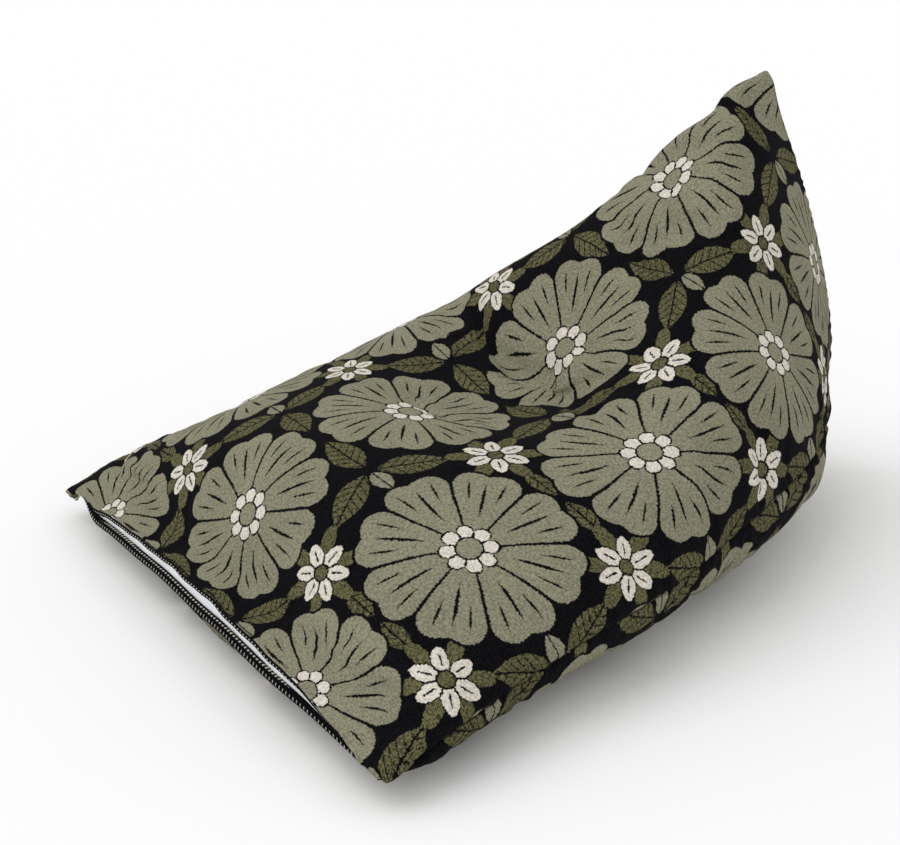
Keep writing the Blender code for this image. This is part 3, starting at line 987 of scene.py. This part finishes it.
def setDown(piece, material):
    # from the cloth's own frame to the part's
    piece.data.transform(Matrix.Translation(offset))
    piece.data.materials.append(material)


solidLow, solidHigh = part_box("bag")
solidTip = max((corner.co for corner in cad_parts["bag"].data.vertices), key=lambda point: point.z)
offset = Vector((solidTip.x, solidHigh.y - sections[-1][4], solidLow.z))
bagSkin, lipRows = buildBag()
setDown(bagSkin, clothLook())
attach(bagSkin, "root")
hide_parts("bag")
print("bag built")


# Zip tape, on the back wall between the lips

tape = {
    "clearance": 0.0004,
    "thickness": 0.0011,
    "leastHalf": 0.0010,              # it ends where the gap is narrower than this
    "bulge": 0.0012,                  # it stands a little out of the wall between its edges
    "ripple": 0.0005,
    "ripples": ((1.0, 61.0, 0.0), (0.6, 143.0, 1.0)),
    "rows": 9,
    "step": 0.004,
    "beyond": 0.06,                   # it is looked for so far past its solid's ends
    "width": 0.0195,
    "herringbone": 0.0026,            # half the pitch of its zigzag
    "rib": 0.0013,
    "ribShare": 0.10,
    "fleck": (500.0, 500.0),
    "fleckShare": 0.8,
    "selvedge": (0.0015, 0.0004),     # its width and its softness
    "selvedgeShare": 0.6,
    "dark": (0.78, 0.82, 0.84, 1.0),
    "light": (0.92, 0.94, 0.95, 1.0),
    "edge": (0.80, 0.86, 0.90, 1.0),
    "bump": (0.35, 0.0003),
    "finish": {"Roughness": 0.8, "Specular IOR Level": 0.2},
}


def buildTape():
    low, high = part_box("zip_tape")
    line = np.arange(low.x - tape["beyond"], high.x + tape["beyond"], tape["step"]) - offset.x
    wall, ceiling, _, floor = [
        np.interp(line, lipRows[0][:, 0], lipRows[row][:, axis])
        for row in (grooveRow, grooveRow + 2) for axis in (1, 2)]
    half = (ceiling - floor) / 2 - tape["clearance"]
    keep = half > tape["leastHalf"]
    ripple = sum(size * np.sin(line * pace + shift) for size, pace, shift in tape["ripples"])
    points = []
    for number in range(tape["rows"]):
        up = 1.0 - 2.0 * number / (tape["rows"] - 1)
        y = wall - tape["clearance"] - tape["thickness"] / 2 - tape["bulge"] * (1.0 - up * up)
        y = y - tape["ripple"] * ripple * (1.0 - up * up)
        z = (ceiling + floor) / 2 + half * up
        points.append(np.stack([line, y, z], axis=1)[keep])
    grid = np.array(points)
    made = newPiece("zip_ribbon", grid.reshape(-1, 3), gridFaces(numbered(grid))[:, ::-1].tolist())
    layer = made.data.uv_layers.new(name="cloth")
    across = np.linspace(0.0, tape["width"], grid.shape[0])[:, None] * np.ones(grid.shape[1])
    flat = np.stack([grid[:, :, 0], across], axis=2).reshape(-1, 2)
    corners = np.zeros(len(made.data.loops), np.int32)
    made.data.loops.foreach_get("vertex_index", corners)
    layer.data.foreach_set("uv", flat[corners].astype(np.float32).ravel())
    thick = made.modifiers.new("Solidify", "SOLIDIFY")
    thick.thickness = tape["thickness"]
    thick.offset = 0.0
    bpy.ops.object.select_all(action="DESELECT")
    bpy.context.view_layer.objects.active = made
    made.select_set(True)
    bpy.ops.object.modifier_apply(modifier=thick.name)
    made.data.shade_smooth()
    return made


def tapeLook():
    # herringbone ribbon: ribs that lean one way and then the other
    look = Look("zip_cloth")
    place = look.node("UVMap", {"uv_map": "cloth"})
    x, y = place.split()
    lean = (y - tape["width"] / 2).fromLines(tape["herringbone"])
    rib = ((x + lean) * (2.0 * math.pi / tape["rib"])).math("SINE")
    fleck = grain(place, tape["fleck"], 1.0)
    width, softness = tape["selvedge"]
    selvedge = (width - y.least(tape["width"] - y)).inside(softness)
    shade = rib * tape["ribShare"] + fleck * tape["fleckShare"] + 0.5
    colour = look.blend(shade, tape["dark"], tape["light"])
    colour = look.blend(selvedge * tape["selvedgeShare"], colour, tape["edge"])
    bump = bumped(look, rib + fleck + selvedge, tape["bump"])
    return look.dress({"Base Color": colour, "Normal": bump, **tape["finish"]})


zipRibbon = buildTape()
setDown(zipRibbon, tapeLook())
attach(zipRibbon, "root")
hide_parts("zip_tape")
print("zip tape built")


# Stitching along the lips: one short thread, copied

stitching = {
    "pitch": 0.0085,
    "thread": 0.0011,                 # its radius
    "flatness": 0.7,
    "lift": 0.0001,
    "lean": 0.0040,                   # how far a stitch slants along the lip
    "jitter": 0.0005,
    "ends": (-0.430, 0.425),
    "light": (0.52, 0.50, 0.45, 1.0),
    "dark": 0.6,                      # as a share of the light
    "ply": 900.0,
    "roughness": 0.8,
}


def threadShape():
    bpy.ops.mesh.primitive_uv_sphere_add(segments=6, ring_count=4, radius=1.0)
    pattern = bpy.context.object
    bpy.ops.object.mode_set(mode="EDIT")
    bpy.ops.mesh.select_all(action="SELECT")
    bpy.ops.transform.rotate(value=math.pi / 2, orient_axis="Y", center_override=(0.0, 0.0, 0.0))
    bpy.ops.object.mode_set(mode="OBJECT")
    points = meshPoints(pattern.data)
    faces = []
    for face in pattern.data.polygons:
        corners = list(face.vertices)
        first = corners.index(min(corners))
        faces.append(corners[first:] + corners[:first])
    bpy.data.objects.remove(pattern)
    return points, sorted(faces)


def lipPoint(place, row):
    return np.array([np.interp(place, lipRows[row][:, 0], lipRows[row][:, axis]) for axis in range(3)])


def buildStitching():
    shape, shapeFaces = threadShape()
    dice = np.random.default_rng(7)
    thread = stitching["thread"]
    halfLean = stitching["lean"] / 2
    points = []
    faces = []
    for place in np.arange(*stitching["ends"], stitching["pitch"]):
        shift = dice.uniform(-1.0, 1.0, 2) * stitching["jitter"]
        start = lipPoint(place - halfLean + shift[0], edgeRow - 2)
        end = lipPoint(place + halfLean + shift[1], edgeRow)
        middle = lipPoint(place, edgeRow - 1)
        length = np.linalg.norm(end - start)
        direction = (end - start) / length
        normal = middle - lipPoint(place, grooveRow + 2)
        normal = normal - direction * (normal @ direction)
        normal = normal / np.linalg.norm(normal)
        beside = np.cross(normal, direction)
        scaled = shape * [length / 2, thread, thread * stitching["flatness"]]
        placed = scaled[:, :1] * direction + scaled[:, 1:2] * beside + scaled[:, 2:] * normal
        faces.extend([[corner + len(points) * len(shape) for corner in face] for face in shapeFaces])
        points.append(placed + middle + normal * stitching["lift"])
    made = newPiece("lip_stitching", np.concatenate(points), faces)
    made.data.shade_smooth()
    return made


def threadLook():
    look = Look("sewing_thread")
    place = look.node("TexCoord", None, None, 3)
    ply = look.node("TexNoise", None, {"Vector": place, "Scale": stitching["ply"], "Detail": 1.0})
    dark = [stitching["dark"] * channel for channel in stitching["light"][:3]]
    colour = look.blend(ply, (*dark, 1.0), stitching["light"])
    return look.dress({"Base Color": colour, "Roughness": stitching["roughness"]})


lipStitching = buildStitching()
setDown(lipStitching, threadLook())
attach(lipStitching, "root")
print("stitching sewn")


# Studio

studio = {
    "floorSize": 30.0,
    "floorZ": -0.0004,
    "floorFinish": {
        "Base Color": (0.90, 0.90, 0.90, 1.0), "Roughness": 0.95, "Specular IOR Level": 0.0,
    },
    "skyColour": (1.0, 1.0, 1.0, 1.0),
    "skyStrength": 0.88,
    "sunStrength": 0.85,
    "sunSpread": 50.0,                # degrees: a wide, soft light
    "sunFrom": (-0.9, -1.6, 3.0),
}


def buildStudio():
    bpy.context.scene.view_settings.view_transform = "Standard"
    bpy.ops.mesh.primitive_plane_add(size=studio["floorSize"], location=(0.0, 0.0, studio["floorZ"]))
    floor = bpy.context.object
    floor.name = "floor"
    floor.data.materials.append(Look("paper").dress(studio["floorFinish"]))
    world = bpy.data.worlds.new("studio")
    bpy.context.scene.world = world
    world.use_nodes = True
    sky = world.node_tree.nodes["Background"].inputs
    sky["Color"].default_value = studio["skyColour"]
    sky["Strength"].default_value = studio["skyStrength"]
    bpy.ops.object.light_add(type="SUN", location=studio["sunFrom"])
    lamp = bpy.context.object
    lamp.name = "soft_light"
    lamp.data.energy = studio["sunStrength"]
    lamp.data.angle = math.radians(studio["sunSpread"])
    lamp.rotation_mode = "QUATERNION"
    lamp.rotation_quaternion = Vector(studio["sunFrom"]).to_track_quat("Z", "Y")


buildStudio()
print("studio lit")
